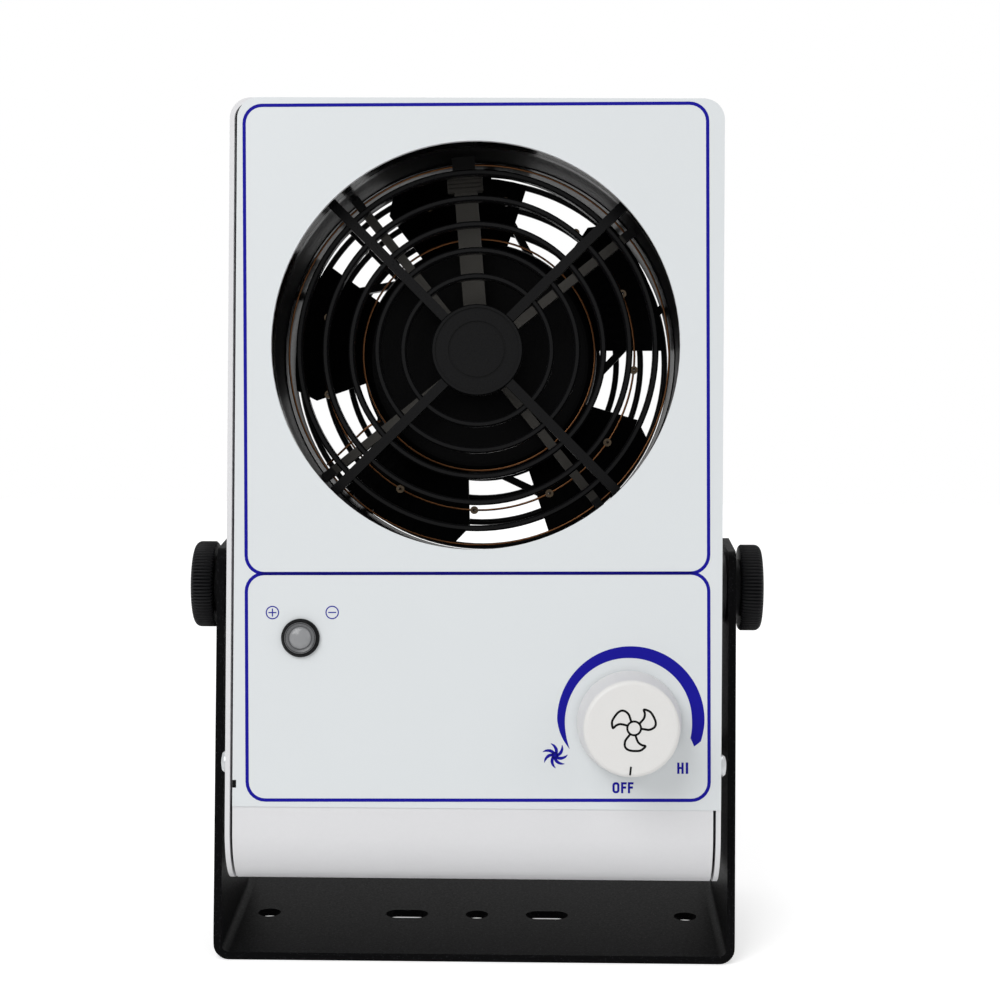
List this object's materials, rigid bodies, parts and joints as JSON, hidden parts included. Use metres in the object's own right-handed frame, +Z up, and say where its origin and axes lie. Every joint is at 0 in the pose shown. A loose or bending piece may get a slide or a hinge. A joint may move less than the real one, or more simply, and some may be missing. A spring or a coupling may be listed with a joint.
{
  "type": "ionizing air blower",
  "caption": "Bench-top ionizing air blower: a light grey sheet-metal housing with a round grille, emitter rings and a speed knob, tilting in a black U bracket between two clamp knobs.",
  "frame": {"origin": "centre of the bracket base's centre hole, on the base's underside, where the blower stands on the bench", "axes": "+X to the right seen from the front, +Y to the back, +Z up; the air blows towards -Y"},
  "size_m": [0.1512, 0.111, 0.2198],
  "materials": {
    "bracket_paint": "satin black, fine texture",
    "body_paint": "satin light grey",
    "film": "printed pale grey film, satin",
    "black_plastic": "semi-gloss black",
    "fan_plastic": "glossy black",
    "washer": "dull dark grey",
    "zinc": "bright zinc",
    "copper_wire": "brown copper",
    "needle": "brown metal",
    "core_steel": "laminated grey steel",
    "bearing": "polished",
    "coil": "copper winding under yellow tape",
    "guard_wire": "black coated wire",
    "lead": "red silicone",
    "board": "green laminate",
    "parts": "blue-grey",
    "fuse": "clear tube and clips",
    "standoff": "plain",
    "pot": "dull",
    "bezel": "glossy black",
    "reflector": "bright ring",
    "lens": "clear dome over grey, unlit",
    "inlet_plastic": "glossy black",
    "pin": "plain",
    "knob_white": "warm white, satin",
    "clamp_plastic": "ribbed satin black",
    "stud": "bright zinc"
  },
  "bodies": {
    "bracket": {"bracket": "bracket_paint", "friction_washers": "washer"},
    "housing": {"chassis": "body_paint", "cover": "body_paint", "cover_screws": "zinc", "overlay_film": "film", "duct_ring": "black_plastic", "front_grille": "black_plastic", "emitter_frame": "black_plastic", "outer_ground_ring": "copper_wire", "emitter_ring": "copper_wire", "inner_ground_ring": "copper_wire", "emitter_needles": "needle", "ring_jumper": "copper_wire", "fan_frame": "fan_plastic", "fan_stator": "core_steel", "fan_bearings": "bearing", "rear_guard": "guard_wire", "fan_screws": "zinc", "panel_nuts": "zinc", "transformer_core": "core_steel", "transformer_coil": "coil", "transformer_strap": "zinc", "transformer_screws": "zinc", "high_voltage_lead": "lead", "control_board": "board", "board_parts": "parts", "board_fuse": "fuse", "board_standoffs": "standoff", "board_screws": "zinc", "speed_pot": "pot", "pot_nut": "zinc", "indicator_bezel": "bezel", "indicator_reflector": "reflector", "indicator_lens": "lens", "indicator_lamp": "lens", "indicator_nut": "zinc", "mains_inlet": "inlet_plastic", "inlet_pins": "pin", "inlet_screws": "zinc", "inlet_nuts": "zinc", "stud_nuts": "zinc"},
    "impeller": {"impeller": "fan_plastic", "rotor_can": "core_steel", "fan_shaft": "stud"},
    "speed_dial": {"speed_knob": "knob_white", "pot_shaft": "stud"},
    "left_clamp": {"left_clamp_knob": "clamp_plastic", "left_clamp_stud": "stud"},
    "right_clamp": {"right_clamp_knob": "clamp_plastic", "right_clamp_stud": "stud"}
  },
  "joints": [
    {"name": "housing_tilt", "type": "hinge", "parent": "bracket", "child": "housing", "pos_m": [0, 0, 0.093], "axis": [1, 0, 0], "range_deg": [-81, 99]},
    {"name": "impeller_spin", "type": "hinge", "parent": "housing", "child": "impeller", "pos_m": [0, 0.00957, 0.15345], "axis": [0, -0.9877, 0.1564], "continuous": true},
    {"name": "speed_dial_turn", "type": "hinge", "parent": "housing", "child": "speed_dial", "pos_m": [0.0389, -0.0382, 0.06594], "axis": [0, 0.9877, -0.1564], "range_deg": [0, 290]},
    {"name": "left_clamp_turn", "type": "hinge", "parent": "housing", "child": "left_clamp", "pos_m": [-0.0715, 0, 0.093], "axis": [-1, 0, 0], "range_deg": [0, 360]},
    {"name": "right_clamp_turn", "type": "hinge", "parent": "housing", "child": "right_clamp", "pos_m": [0.0715, 0, 0.093], "axis": [1, 0, 0], "range_deg": [0, 360]}
  ]
}
